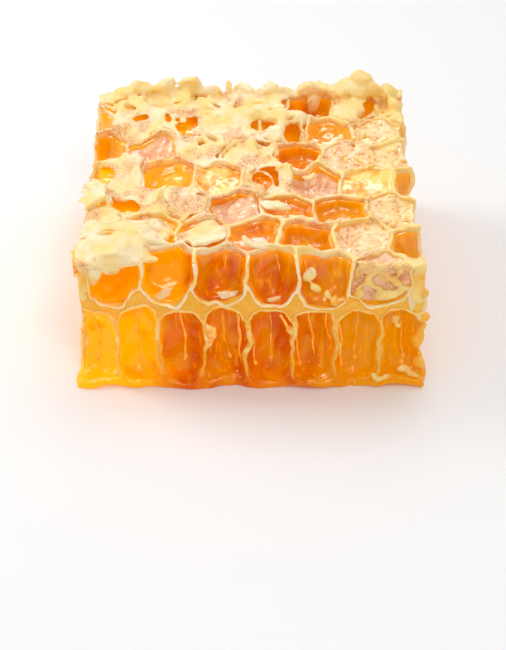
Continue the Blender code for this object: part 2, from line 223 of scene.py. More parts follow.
# Beads of honey and wax down the left and right sides, in millimetres, as the lumps are
BEADS = (
    (20.0, 0.9, -5.0, 1.0, 1.6, 2.2),
    (20.1, 0.8, -8.2, 1.3, 1.7, 2.4),
    (20.3, 1.1, -10.0, 0.9, 1.2, 1.3),
    (20.0, 0.9, -11.6, 1.6, 1.8, 2.6),
    (20.3, 1.0, -13.9, 0.8, 1.2, 1.2),
    (20.0, 1.2, -15.4, 1.5, 1.9, 2.4),
    (20.2, 6.5, -11.0, 1.0, 1.6, 2.4),
    (20.2, 12.0, -9.4, 1.0, 1.8, 1.6),
    (20.2, 24.0, -12.0, 0.9, 1.5, 2.0),
    (-20.2, 9.0, -10.0, 1.0, 1.6, 1.8),
    (-20.2, 21.0, -13.0, 1.0, 1.5, 2.2),
    (-20.1, 31.0, -9.0, 1.0, 1.9, 1.6),
)

# Flakes that stand or hang on the block: whether they are pale, then their corners in
# millimetres: across, behind the front and above the top
FLAKES = (
    (0, (-18.6, 4.6, 0.1), (-21.2, 2.4, -0.2), (-20.7, 0.4, -2.6), (-19.0, 1.2, -1.9)),
    (0, (-5.7, 0.1, -8.8), (-4.3, -0.2, -9.3), (-4.2, -0.2, -10.6), (-4.8, -0.1, -12.0), (-5.5, 0.1, -12.8)),
    (1, (17.8, -0.2, -3.4), (20.2, 0.3, -4.0), (20.7, 0.4, -6.0), (19.8, 0.0, -8.2), (18.6, -0.3, -6.6)),
    (1, (-12.8, 0.6, -6.3), (-10.6, 0.9, -4.6), (-9.2, 1.2, -4.3), (-9.8, 0.7, -5.3), (-11.8, 0.4, -6.4)),
    (1, (-4.2, 0.7, -4.7), (-1.4, 1.0, -4.5), (-1.2, 0.6, -5.0), (-3.6, 0.4, -5.5)),
    (1, (1.9, 0.5, -5.4), (3.5, 0.8, -5.2), (3.1, 0.5, -5.9), (1.7, 0.3, -6.0)),
)


# ---------------------------------------------------------------- cells


def clip(outline, point, across):
    """The part of a convex outline behind the line through point that is square to across."""
    kept = []
    for start, end in zip(outline, outline[1:] + outline[:1]):
        before = (start - point).dot(across)
        after = (end - point).dot(across)
        if before <= 0.0:
            kept.append(start)
        if before * after < 0.0:
            kept.append(start.lerp(end, before / (before - after)))
    return kept


def inward(corner):
    """How far a corner lies in from the nearest side of the block."""
    return min(WIDTH / 2 - abs(corner.x), DEPTH / 2 - abs(corner.y))


def outline_of(centre, centres, inset):
    """A cell's outline: halfway to its neighbours, drawn in by inset."""
    near = sorted(centres, key=lambda other: (other - centre).length)
    side = (near[1] - centre).length
    outline = [centre + Vector(corner) * side for corner in CORNERS]
    for other in near[1 : NEIGHBOURS + 1]:
        across = (other - centre).normalized()
        outline = clip(outline, (centre + other) / 2 - across * inset, across)
    return outline


def lay_out(start, step, row_step, uneven):
    """The centres of one layer's cells, row by row and a little uneven, past every side."""
    draw = random.Random(CELL_SEED)
    centres = []
    for row in range(-1, int(DEPTH / row_step.y) + 3):
        first = start + row * row_step
        left = int((-WIDTH / 2 - first.x) // step.x)
        right = int((WIDTH / 2 - first.x) // step.x) + 1
        for column in range(left, right + 1):
            wobble = Vector((draw.uniform(-uneven, uneven), draw.uniform(-uneven, uneven)))
            centres.append(first + column * step + wobble)
    return centres


def cells_of(centres, mouths, least):
    """The cells of one layer that reach at least this far into the block, with their mouths in turn."""
    mouths = iter(mouths)
    cells = []
    for centre in centres:
        wax_line = outline_of(centre, centres, WALL / 2)
        honey_line = outline_of(centre, centres, WALL / 2 + GAP)
        if max(inward(corner) for corner in honey_line) < least:
            continue
        cut = cut_sides(wax_line)
        border = outline_of(centre, centres, 0.0)
        cells.append(Cell(next(mouths), centre, border, cut))
    return cells


def drawn_in(cell, inset):
    """A cell's outline, drawn in from its border by inset."""
    centre, border = cell.centre, cell.border
    outline = list(border)
    for start, end in zip(border, border[1:] + border[:1]):
        along = (end - start).normalized()
        across = Vector((along.y, -along.x))
        outline = clip(outline, start - across * inset, across)
    return outline


def clip_to_block(outline, margin):
    """The part of an outline that stands on the block, a margin inside its sides."""
    edge = Vector((WIDTH / 2 - margin, DEPTH / 2 - margin))
    for across in (Vector((1, 0)), Vector((-1, 0)), Vector((0, 1)), Vector((0, -1))):
        outline = clip(outline, edge * across, across)
    return outline


def cut_sides(outline):
    """The sides of the block that cut an outline, each as its axis and direction."""
    sides = []
    for axis, half in enumerate((WIDTH / 2, DEPTH / 2)):
        for way in (-1.0, 1.0):
            if sorted(half - way * corner[axis] for corner in outline)[1] < TORN_SKIN:
                sides.append((axis, way))
    return sides


def open_to_side(outline, sides):
    """The outline drawn straight out past the sides that cut it."""
    for axis, way in sides:
        half = (WIDTH, DEPTH)[axis] / 2
        depths = [half - way * corner[axis] for corner in outline]
        deepest = depths.index(max(depths))
        ring = outline[deepest:] + outline[:deepest]
        near = [place for place, corner in enumerate(ring) if half - way * corner[axis] < TORN_SKIN]
        if len(near) < 2:
            continue
        near.sort(key=lambda place: ring[place][1 - axis])
        first, last = sorted((near[0], near[-1]))
        out = Vector((0.0, 0.0))
        out[axis] = way * BEYOND
        outline = [*ring[: first + 1], ring[first] + out, ring[last] + out, *ring[last:]]
    return outline


# A cut cell's hollow: heights, each with its share of the cell's width
UPPER_NICHE = (
    (UPPER_FLOOR - 0.6 * MM, 0.35),
    (UPPER_FLOOR + 0.1 * MM, 0.68),
    (UPPER_FLOOR + 1.1 * MM, 0.92),
    (UPPER_FLOOR + 2.0 * MM, 1.0),
    (TOP + BEYOND, 1.0),
)
LOWER_NICHE = (
    (BASE - 0.9 * MM, 0.6),
    (BASE - 0.3 * MM, 0.92),
    (BASE + 0.8 * MM, 1.0),
    (LOWER_CEILING - 0.9 * MM, 0.98),
    (LOWER_CEILING + 0.2 * MM, 0.8),
    (LOWER_CEILING + 0.8 * MM, 0.45),
)

UPPER_CENTRES = lay_out(UPPER_START, UPPER_STEP, UPPER_ROW, UPPER_UNEVEN)
LOWER_CENTRES = lay_out(LOWER_START, LOWER_STEP, LOWER_ROW, LOWER_UNEVEN)
UPPER_CELLS = cells_of(UPPER_CENTRES, MOUTHS, RIB_DEPTH + GAP)
LOWER_CELLS = cells_of(LOWER_CENTRES, itertools.cycle(UNDERSIDE), SHALLOWEST)


# ---------------------------------------------------------------- modelling


def activate(obj):
    """Select obj alone."""
    bpy.ops.object.select_all(action="DESELECT")
    obj.select_set(True)
    bpy.context.view_layer.objects.active = obj


def begin(name):
    """A new object with an empty mesh, open for editing."""
    made = bpy.data.objects.new(name, bpy.data.meshes.new(name))
    bpy.context.scene.collection.objects.link(made)
    activate(made)
    bpy.ops.object.mode_set(mode="EDIT")
    return made


def close_up(made):
    """Turn every face outwards and leave edit mode."""
    bpy.ops.mesh.select_all(action="SELECT")
    bpy.ops.mesh.normals_make_consistent(inside=False)
    bpy.ops.object.mode_set(mode="OBJECT")
    return made


def draw_column(outline, centre, levels):
    """Add an upright column over an outline. Each level is a height and a share of the width."""
    low, share = levels[0]
    bpy.ops.mesh.select_all(action="DESELECT")
    bpy.ops.mesh.primitive_circle_add(vertices=len(outline), fill_type="NGON")
    mesh = bpy.context.object.data
    foot = [vert for vert in bmesh.from_edit_mesh(mesh).verts if vert.select]
    for vert, corner in zip(foot, outline):
        vert.co = (*(centre + (corner - centre) * share), low)
    for height, next_share in levels[1:]:
        bpy.ops.mesh.extrude_region_move(TRANSFORM_OT_translate={"value": (0, 0, height - low)})
        spread = next_share / share
        bpy.ops.transform.resize(value=(spread, spread, 1), center_override=(*centre, height))
        low, share = height, next_share


def lean_column(centre, height, forward, sideways):
    """Lean what was drawn last about a point on the axis of its cell."""
    bpy.ops.mesh.select_linked()
    pivot = (*centre, height)
    bpy.ops.transform.rotate(value=forward, orient_axis="X", center_override=pivot)
    bpy.ops.transform.rotate(value=sideways, orient_axis="Y", center_override=pivot)


def on_block(x, y, z=0.0):
    """A place given in millimetres across, behind the front and above the top."""
    return Vector((x * MM, y * MM - DEPTH / 2, TOP + z * MM))


def draw_block(width, depth, bottom, top, flare=0.0):
    """Add a block centred on Z, wider at its foot by flare on every side."""
    outline = [Vector((x * width / 2, y * depth / 2)) for x, y in CORNERS]
    spread = 1.0 + 2.0 * flare / width
    draw_column(outline, Vector((0.0, 0.0)), [(bottom, spread), (top, 1.0)])


def draw_blob(place, size, turn=(0.0, 0.0, 0.0), subdivisions=2):
    """Add a lumpy ball, size across, to the mesh being edited."""
    bpy.ops.mesh.select_all(action="DESELECT")
    bpy.ops.mesh.primitive_ico_sphere_add(
        subdivisions=subdivisions, radius=0.5, location=place, rotation=turn, scale=size
    )


def draw_sheet(corners, thickness):
    """Add a flat flake with these corners."""
    bpy.ops.mesh.select_all(action="DESELECT")
    bpy.ops.mesh.primitive_circle_add(vertices=len(corners), fill_type="NGON")
    face = [vert for vert in bmesh.from_edit_mesh(bpy.context.object.data).verts if vert.select]
    for vert, corner in zip(face, corners):
        vert.co = corner
    across = (face[1].co - face[0].co).cross(face[-1].co - face[0].co).normalized() * thickness
    bpy.ops.mesh.extrude_region_move(TRANSFORM_OT_translate={"value": across})


def draw_thread(path, width):
    """Add a rounded strand along a path that runs up or down."""
    bpy.ops.mesh.select_all(action="DESELECT")
    bpy.ops.mesh.primitive_circle_add(vertices=6, radius=width / 2, fill_type="NGON", location=path[0])
    for start, end in zip(path, path[1:]):
        shift = Vector(end) - Vector(start)
        bpy.ops.mesh.extrude_region_move(TRANSFORM_OT_translate={"value": shift})


def modify(obj, kind, **settings):
    """Add a modifier to obj and apply it."""
    activate(obj)
    step = obj.modifiers.new(kind.lower(), kind)
    for name, value in settings.items():
        setattr(step, name, value)
    bpy.ops.object.modifier_apply(modifier=step.name)


def combine(target, helper, operation):
    """Join helper to target or cut it away, and remove it."""
    modify(target, "BOOLEAN", operation=operation, solver="MANIFOLD", object=helper)
    bpy.data.objects.remove(helper)


def carve(target, helper):
    """Cut a helper whose own parts may overlap out of target, and remove it."""
    modify(target, "BOOLEAN", operation="DIFFERENCE", solver="EXACT", object=helper, use_self=True)
    bpy.data.objects.remove(helper)


def join(target, helper):
    """Make helper part of target's mesh. A remesh afterwards melts the two together."""
    bpy.ops.object.select_all(action="DESELECT")
    helper.select_set(True)
    target.select_set(True)
    bpy.context.view_layer.objects.active = target
    bpy.ops.object.join()


def melt(obj, voxel, smoothing):
    """Give obj one skin of small even faces, and soften it."""
    modify(obj, "REMESH", mode="VOXEL", voxel_size=voxel, use_smooth_shade=True)
    modify(obj, "SMOOTH", factor=0.5, iterations=smoothing)


def clouds(name, size, depth=2):
    """A cloudy texture whose lumps are about size across."""
    made = bpy.data.textures.new(name, "CLOUDS")
    made.noise_scale = size
    made.noise_depth = depth
    made.cloud_type = "COLOR"
    return made


def displace(obj, texture, direction, strength):
    """Push the surface along direction, as far out as in, after a texture."""
    modify(
        obj,
        "DISPLACE",
        texture=texture,
        texture_coords="LOCAL",
        direction=direction,
        strength=strength,
        mid_level=0.5,
    )


def bend(obj, strength):
    """Push the surface about in all directions, so that thin walls wander and keep their width."""
    displace(obj, clouds("bends", BENDS), "RGB_TO_XYZ", strength)


def heave(obj, strength):
    """Raise and lower the top, so that it runs in hills and hollows."""
    displace(obj, clouds("hills", HILLS, 1), "Z", strength)


def rest_flat(obj):
    """Press flat whatever hangs below the foot."""
    activate(obj)
    bpy.ops.object.mode_set(mode="EDIT")
    bpy.ops.mesh.select_all(action="DESELECT")
    mesh = bmesh.from_edit_mesh(obj.data)
    for vert in mesh.verts:
        vert.select_set(vert.co.z < FOOT)
    bmesh.update_edit_mesh(obj.data)
    bpy.ops.transform.resize(value=(1, 1, 0), center_override=(0, 0, FOOT))
    bpy.ops.object.mode_set(mode="OBJECT")


def roughen(obj, size, strength):
    """Push the surface in and out in lumps about size across."""
    displace(obj, clouds("lumps", size), "NORMAL", strength)


def place_piece(piece, material, slot, *nodes):
    """Finish a piece: its material, what it moves with and what it stands for."""
    piece.data.materials.clear()
    piece.data.materials.append(material)
    activate(piece)
    bpy.ops.object.shade_smooth()
    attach(piece, "root")
    if nodes:
        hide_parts(*nodes)


# ---------------------------------------------------------------- materials


class Value:
    """A socket that arithmetic adds Math nodes to."""

    def __init__(self, paint, socket):
        self.paint = paint
        self.socket = socket

    def __add__(self, other):
        return self.paint.math("ADD", self, other)

    def __sub__(self, other):
        return self.paint.math("SUBTRACT", self, other)

    def __rsub__(self, other):
        return self.paint.math("SUBTRACT", other, self)

    def __mul__(self, other):
        return self.paint.math("MULTIPLY", self, other)

    def __truediv__(self, other):
        return self.paint.math("DIVIDE", self, other)

    __radd__ = __add__
    __rmul__ = __mul__

    def clamped(self):
        """The value held between 0 and 1."""
        return self.paint.math("ADD", self, 0.0, use_clamp=True)

    def above(self, edge, width):
        """0 below edge and 1 above it, over a soft step of width."""
        return ((self - edge) / width + 0.5).clamped()


class Paint:
    """A material's node tree, with places in millimetres on the piece."""

    def __init__(self, name):
        self.material = bpy.data.materials.new(name)
        self.material.use_nodes = True
        self.tree = self.material.node_tree
        self.tree.nodes.clear()
        coordinates = self.add("ShaderNodeTexCoord").outputs["Object"]
        scaled = self.add("ShaderNodeVectorMath", {"operation": "SCALE"}, {0: coordinates, "Scale": 1000.0})
        self.place = scaled.outputs[0]
        axes = self.add("ShaderNodeSeparateXYZ", {}, {0: self.place})
        self.x, self.y, self.z = (Value(self, socket) for socket in axes.outputs)

    def add(self, kind, settings=(), sockets=()):
        """A node of one kind, with its settings, then with values or links in its sockets."""
        node = self.tree.nodes.new(kind)
        for name, value in dict(settings).items():
            setattr(node, name, value)
        for name, value in dict(sockets).items():
            value = value.socket if isinstance(value, Value) else value
            if isinstance(value, bpy.types.NodeSocket):
                self.tree.links.new(value, node.inputs[name])
            else:
                node.inputs[name].default_value = value
        return node

    def math(self, operation, first, second, use_clamp=False):
        settings = {"operation": operation, "use_clamp": use_clamp}
        return Value(self, self.add("ShaderNodeMath", settings, {0: first, 1: second}).outputs[0])

    def near_side(self):
        """1 on a side of the block, falling to 0 a millimetre inside it."""
        across = self.math("SUBTRACT", WIDTH / 2 / MM, self.math("ABSOLUTE", self.x, 0.0))
        along = self.math("SUBTRACT", DEPTH / 2 / MM, self.math("ABSOLUTE", self.y, 0.0))
        return (1 - self.math("MINIMUM", across, along)).clamped()

    def stretched(self, stretch, offset=(0.0, 0.0, 0.0)):
        """The place scaled along each axis, for a pattern that runs along one of them."""
        node = self.add("ShaderNodeMapping", {}, {"Vector": self.place, "Scale": stretch, "Location": offset})
        return node.outputs[0]

    def noise(self, scale, detail=2.0, place=None, distortion=0.0):
        sockets = {"Vector": place or self.place, "Scale": scale, "Detail": detail}
        sockets["Distortion"] = distortion
        return Value(self, self.add("ShaderNodeTexNoise", {}, sockets).outputs[0])

    def voronoi(self, scale, feature="F1", place=None):
        sockets = {"Vector": place or self.place, "Scale": scale}
        return Value(self, self.add("ShaderNodeTexVoronoi", {"feature": feature}, sockets).outputs[0])

    def mix(self, first, second, factor):
        """A colour between two others."""
        sockets = {0: factor, 6: first, 7: second}
        return self.add("ShaderNodeMix", {"data_type": "RGBA"}, sockets).outputs[2]

    def bump(self, height, distance, strength=1.0, normal=None):
        sockets = {"Height": height, "Distance": distance, "Strength": strength}
        if normal:
            sockets["Normal"] = normal
        return self.add("ShaderNodeBump", {}, sockets).outputs[0]

    def finish(self, **sockets):
        """The Principled shader and the output. A name's underscores stand for spaces."""
        named = {name.replace("_", " "): value for name, value in sockets.items()}
        shader = self.add("ShaderNodeBsdfPrincipled", {}, named)
        self.add("ShaderNodeOutputMaterial", {}, {"Surface": shader.outputs[0]})
        return self.material


def opaque(colour):
    """A colour with its alpha."""
    return (*colour, 1.0)


def cream_wax_material(name, wall_top, settings):
    """Cream wax: whiter where raised, golden down the walls, frosted and speckled where sunken."""
    paint = Paint(name)
    height = paint.z - TOP / MM
    broad = paint.noise(0.28, 3.0)
    fine = paint.noise(1.7, 4.0)
    grain = paint.noise(6.0, 3.0)
    pores = paint.voronoi(3.2)
    cream = paint.mix(opaque(settings.cream), opaque(settings.straw), broad.above(0.5, 0.22))
    cream = paint.mix(cream, opaque(settings.straw), fine.above(0.62, 0.12) * 0.6)
    cream = paint.mix(cream, opaque(settings.straw), paint.x.above(9.0, 14.0) * 0.8)
    middle = paint.math("MULTIPLY", paint.x + 6.0, paint.x + 6.0) + paint.math("MULTIPLY", paint.y, paint.y)
    inland = (1 - middle / 160.0).clamped() * 0.08
    frosted = paint.noise(0.42, 3.0, place=paint.stretched((1, 1, 1), (31, 7, 0)))
    frosted = (frosted + inland).above(0.55, 0.08) * (1 - height.above(0.3, 0.6))
    speckle = grain.above(0.54, 0.10) * frosted
    cream = paint.mix(cream, opaque(settings.blush), frosted * 0.5)
    cream = paint.mix(cream, opaque(settings.frost), speckle * 0.85)
    cream = paint.mix(cream, opaque(settings.speck), (1 - pores.above(0.26, 0.1)) * frosted * 0.85)
    wall = 1 - height.above(wall_top, 1.2)
    skin = paint.near_side().above(0.4, 0.6)
    ribs = paint.mix(opaque(settings.straw), opaque(settings.gold), broad.above(0.5, 0.2))
    low = paint.mix(honey_tone(paint, settings), ribs, skin)
    colour = paint.mix(cream, low, wall)
    rough = 0.5 + grain * 0.2 - wall * 0.25
    surface = fine * 0.6 + grain * 0.3 - (1 - pores.above(0.2, 0.2)) * frosted * 0.6
    return paint.finish(
        Base_Color=colour,
        Roughness=rough,
        Normal=paint.bump(surface, 0.00025, 0.7),
        Subsurface_Weight=0.35,
        Subsurface_Radius=(1.0, 0.7, 0.3),
        Subsurface_Scale=0.8 * MM,
        Coat_Weight=0.15,
        Coat_Roughness=0.25,
        # Painted glow: warm gold emission that lifts the shade in the creases, standing in for light through
        # the wax
        Emission_Color=opaque(settings.gold),
        Emission_Strength=settings.glow * 0.22,
    )


def frosted_wax_material(settings):
    """Cream cappings with wet, pitted patches."""
    paint = Paint("frosted_wax")
    broad = paint.noise(0.6, 3.0)
    grain = paint.noise(3.5, 3.0)
    pores = paint.voronoi(1.7)
    colour = paint.mix(opaque(settings.blush), opaque(settings.cream), broad.above(0.54, 0.08))
    straw = (grain.above(0.56, 0.1) * 0.5 + paint.x.above(14.0, 6.0) * 0.4).clamped()
    colour = paint.mix(colour, opaque(settings.straw), straw)
    pits = (1 - pores.above(0.3, 0.12)) * (1 - broad.above(0.54, 0.1))
    colour = paint.mix(colour, opaque(settings.frost), pits * 0.8)
    return paint.finish(
        Base_Color=colour,
        Roughness=0.4 + grain * 0.3,
        Normal=paint.bump(grain * 0.5 + broad * 1.2 - pits * 0.8, 0.0003, 0.8),
        Subsurface_Weight=0.5,
        Subsurface_Radius=(1.0, 0.45, 0.15),
        Subsurface_Scale=0.8 * MM,
        Coat_Weight=0.4,
        Coat_Roughness=0.12,
        # Painted glow: amber emission standing in for light coming through the wet cappings
        Emission_Color=opaque(settings.bright),
        Emission_Strength=settings.glow * 0.3,
    )


def pale_flake_material(settings):
    """Loose flakes and wet skins of pale wax."""
    paint = Paint("pale_flake")
    broad = paint.noise(0.8, 2.0)
    fine = paint.noise(3.0, 3.0)
    colour = paint.mix(opaque(settings.skin), opaque(settings.film_yellow), broad.above(0.52, 0.2) * 0.8)
    return paint.finish(
        Base_Color=colour,
        Roughness=0.35,
        Normal=paint.bump(fine, 0.0002, 0.5),
        Subsurface_Weight=0.5,
        Subsurface_Radius=(1.0, 0.6, 0.25),
        Subsurface_Scale=0.8 * MM,
        Coat_Weight=0.4,
        Coat_Roughness=0.1,
    )


def edge_material(name, first, second, settings):
    """The cut edge of a wall, with light coming through it."""
    paint = Paint(name)
    broad = paint.noise(0.5, 2.0)
    fine = paint.noise(2.5, 3.0)
    colour = paint.mix(opaque(first), opaque(second), broad.above(0.5, 0.2))
    return paint.finish(
        Base_Color=colour,
        Roughness=0.35,
        Normal=paint.bump(fine, 0.0002, 0.6),
        Subsurface_Weight=0.4,
        Subsurface_Radius=(1.0, 0.6, 0.2),
        Subsurface_Scale=0.6 * MM,
        Coat_Weight=0.4,
        Coat_Roughness=0.1,
        # Painted glow: amber emission standing in for light coming through the cut edge
        Emission_Color=opaque(settings.bright),
        Emission_Strength=settings.glow * 0.3,
    )


def cream_edge_material(settings):
    return edge_material("cream_edge", settings.cream, settings.straw, settings)


def golden_edge_material(settings):
    return edge_material("golden_edge", settings.straw, settings.pale_gold, settings)


def wet_wax_material(settings):
    """Thin wax that honey has soaked through: rusty pink, with pale grains."""
    paint = Paint("wet_wax")
    broad = paint.noise(0.5, 2.0)
    grain = paint.noise(5.5, 3.0)
    colour = paint.mix(opaque(settings.frost), opaque(settings.blush), broad.above(0.52, 0.2))
    colour = paint.mix(colour, opaque(settings.cream), grain.above(0.58, 0.08) * 0.6)
    return paint.finish(
        Base_Color=colour,
        Roughness=0.3,
        Normal=paint.bump(grain, 0.0002, 0.6),
        Subsurface_Weight=0.5,
        Subsurface_Radius=(1.0, 0.4, 0.1),
        Subsurface_Scale=1.0 * MM,
        Coat_Weight=0.8,
        Coat_Roughness=0.06,
        # Painted glow: the wax's own colour emitted, standing in for light coming through the soaked wax
        Emission_Color=colour,
        Emission_Strength=settings.glow * 0.3,
    )


def film_material(settings):
    """A smooth film of yellow wax over honey, paler at its edges."""
    paint = Paint("film")
    broad = paint.noise(0.5, 2.0)
    fine = paint.noise(2.5, 3.0)
    colour = paint.mix(opaque(settings.bright), opaque(settings.film_yellow), broad.above(0.46, 0.16))
    colour = paint.mix(colour, opaque(settings.cream), fine.above(0.6, 0.12) * 0.5)
    return paint.finish(
        Base_Color=colour,
        Roughness=0.3,
        Normal=paint.bump(fine, 0.0002, 0.4),
        Subsurface_Weight=0.5,
        Subsurface_Radius=(1.0, 0.6, 0.1),
        Subsurface_Scale=1.0 * MM,
        Coat_Weight=0.5,
        Coat_Roughness=0.08,
        # Painted glow: the film's own colour emitted, standing in for light coming through the thin film
        Emission_Color=colour,
        Emission_Strength=settings.glow * 0.4,
    )


def golden_wax_material(settings):
    """Thin wet walls and the midrib: golden, cloudy, and the colour of the honey at the foot."""
    paint = Paint("golden_wax")
    broad = paint.noise(0.35, 3.0)
    fine = paint.noise(2.2, 3.0)
    grain = paint.noise(7.0, 2.0)
    colour = paint.mix(opaque(settings.gold), opaque(settings.pale_gold), broad.above(0.5, 0.3))
    colour = paint.mix(colour, opaque(settings.straw), fine.above(0.6, 0.12) * 0.3)
    skin = paint.near_side().above(0.5, 0.6)
    soaked = 1 - skin * paint.z.above(2.2, 1.4)
    colour = paint.mix(colour, honey_tone(paint, settings), soaked)
    return paint.finish(
        Base_Color=colour,
        Roughness=0.38 - soaked * 0.2 + grain * 0.1,
        Normal=paint.bump(fine * 0.7 + grain * 0.2, 0.0002, 0.5),
        Subsurface_Weight=0.5,
        Subsurface_Radius=(1.0, 0.5, 0.12),
        Subsurface_Scale=1.2 * MM,
        Specular_Tint=(1.0, 0.6, 0.2, 1.0),
        Coat_Weight=0.25 - soaked * 0.15,
        Coat_Roughness=0.08,
        # Painted glow: the wall's colour emitted, strongest where soaked with honey, standing in for light
        # coming through the walls
        Emission_Color=paint.mix((0.0, 0.0, 0.0, 1.0), colour, soaked * 0.8 + 0.2),
        Emission_Strength=settings.glow,
    )


def thread_material(settings):
    """Pale edges of wax under a skin of honey."""
    paint = Paint("thread")
    broad = paint.noise(0.9, 2.0)
    colour = paint.mix(opaque(settings.pale_gold), opaque(settings.bright), broad.above(0.5, 0.2))
    return paint.finish(
        Base_Color=colour,
        Roughness=0.25,
        Subsurface_Weight=0.3,
        Subsurface_Radius=(1.0, 0.5, 0.12),
        Subsurface_Scale=0.8 * MM,
        Coat_Weight=0.6,
        Coat_Roughness=0.04,
        # Painted glow: the thread's colour emitted, standing in for light coming through the thin wax edges
        Emission_Color=colour,
        Emission_Strength=settings.glow * 0.6,
    )


def honey_tone(paint, settings):
    """The colour of the honey: yellow on the left, where light comes through, and amber inside."""
    bands = paint.noise(0.5, 1.0, place=paint.stretched((1.0, 0.6, 0.05)))
    pools = paint.noise(0.3, 2.0, place=paint.stretched((1.0, 1.0, 1.0), (4, 1, 8)))
    # Painted backlight: the honey on the left is painted yellow, as if lit through from that side
    edge = paint.z.above(11.5, 1.0) * 3.0 - 10.8 + (pools - 0.5) * 2.0
    left = 1 - (paint.x - edge).above(0.0, 1.0 + (1 - paint.z.above(2.5, 1.0)) * 5.0)
    right = paint.x.above(9.0, 8.0)
    colour = paint.mix(opaque(settings.amber), opaque(settings.rust), bands.above(0.5, 0.14) * 0.8)
    colour = paint.mix(colour, opaque(settings.tawny), pools.above(0.52, 0.2) * 0.6)
    colour = paint.mix(colour, opaque(settings.tawny), right)
    gold = pools.above(0.6, 0.15) * 0.5 + paint.z.above(11.5, 1.0) * 0.5
    gold = paint.mix(opaque(settings.yellow), opaque(settings.tawny), gold.clamped())
    return paint.mix(colour, gold, left)


def honey_material(name, settings):
    """Wet honey in its cells."""
    paint = Paint(name)
    colour = honey_tone(paint, settings)
    streaks = paint.noise(1.6, 2.0, place=paint.stretched((1.0, 0.8, 0.10)), distortion=0.3)
    colour = paint.mix(colour, opaque(settings.yellow), streaks.above(0.62, 0.08) * 0.3)
    # Painted light: honey yellower towards the top, partly the paler tone of shallow honey and partly painted
    # light coming through it
    rim = paint.z.above(16.8, 1.6) * 0.45
    colour = paint.mix(colour, opaque(settings.yellow), rim)
    pool = paint.z.above(14.6, 0.6) * (1 - paint.near_side())
    return paint.finish(
        Base_Color=colour,
        Roughness=0.2,
        IOR=1.45,
        Normal=paint.bump(streaks, 0.0004, 0.3),
        Specular_IOR_Level=0.35,
        Specular_Tint=(1.0, 0.4, 0.05, 1.0),
        Subsurface_Weight=0.5,
        Subsurface_Radius=(1.0, 0.35, 0.05),
        Subsurface_Scale=1.5 * MM,
        Coat_Weight=0.5 + pool * 0.5,
        Coat_Roughness=0.03,
        Coat_IOR=1.45,
        # Painted glow: the honey's colour emitted, standing in for light coming through it from behind
        Emission_Color=colour,
        Emission_Strength=settings.glow,
    )


# ---------------------------------------------------------------- settings


class CombSettings(bpy.types.PropertyGroup):
    """The sizes and colours of the comb."""

    voxel: FloatProperty(
        name="Grain of the wax", description="Size of the faces of the wax", default=0.22 * MM, unit="LENGTH"
    )
    honey_voxel: FloatProperty(
        name="Grain of the honey", description="Size of the faces of the honey", unit="LENGTH",
        default=0.25 * MM,
    )
    film: FloatProperty(
        name="Honey film", description="Honey that clings to a cut wall", default=0.42 * MM, unit="LENGTH"
    )
    wander: FloatProperty(
        name="Wander", description="How far walls wander from their line", default=2.0 * MM, unit="LENGTH"
    )
    heave: FloatProperty(
        name="Heave", description="How far the top rises and falls", default=2.2 * MM, unit="LENGTH"
    )
    flake: FloatProperty(
        name="Flake", description="Thickness of a loose flake", default=0.42 * MM, unit="LENGTH"
    )
    seed: IntProperty(name="Seed", description="Seed of the tears and crumbs", default=5)
    cream: FloatVectorProperty(
        name="Cream", description="Raised cappings", subtype="COLOR", size=3, default=(0.88, 0.76, 0.50)
    )
    straw: FloatVectorProperty(
        name="Straw", description="Thicker, yellower wax", subtype="COLOR", size=3, default=(0.88, 0.64, 0.21)
    )
    frost: FloatVectorProperty(
        name="Frost", description="Wet sunken cappings", subtype="COLOR", size=3, default=(0.72, 0.28, 0.09)
    )
    blush: FloatVectorProperty(
        name="Blush", description="Pale wet cappings", subtype="COLOR", size=3, default=(0.86, 0.50, 0.26)
    )
    skin: FloatVectorProperty(
        name="Skin", description="Loose wet skins", subtype="COLOR", size=3, default=(0.98, 0.70, 0.42)
    )
    speck: FloatVectorProperty(
        name="Specks", description="Pores in frosted wax", subtype="COLOR", size=3, default=(0.48, 0.16, 0.03)
    )
    gold: FloatVectorProperty(
        name="Gold", description="Thin walls", subtype="COLOR", size=3, default=(0.88, 0.42, 0.03)
    )
    pale_gold: FloatVectorProperty(
        name="Pale gold", description="Cloudy walls", subtype="COLOR", size=3, default=(0.91, 0.46, 0.05)
    )
    yellow: FloatVectorProperty(
        name="Yellow", description="Thin honey with light behind it", subtype="COLOR", size=3,
        default=(0.94, 0.40, 0.0),
    )
    bright: FloatVectorProperty(
        name="Bright amber", description="Shallow honey", subtype="COLOR", size=3, default=(0.90, 0.32, 0.0)
    )
    film_yellow: FloatVectorProperty(
        name="Film yellow", description="Thin films of wax", subtype="COLOR", size=3,
        default=(0.96, 0.62, 0.14),
    )
    tawny: FloatVectorProperty(
        name="Tawny", description="Honey near the right side", subtype="COLOR", size=3,
        default=(0.62, 0.23, 0.0),
    )
    amber: FloatVectorProperty(
        name="Amber", description="Honey", subtype="COLOR", size=3, default=(0.62, 0.13, 0.0)
    )
    rust: FloatVectorProperty(
        name="Rust", description="Deep honey", subtype="COLOR", size=3, default=(0.50, 0.065, 0.0)
    )
    # Painted glow: an emission strength that stands in for light coming through the honey and wax from behind
    glow: FloatProperty(
        name="Glow", description="Light that comes through the honey from behind", default=0.45
    )


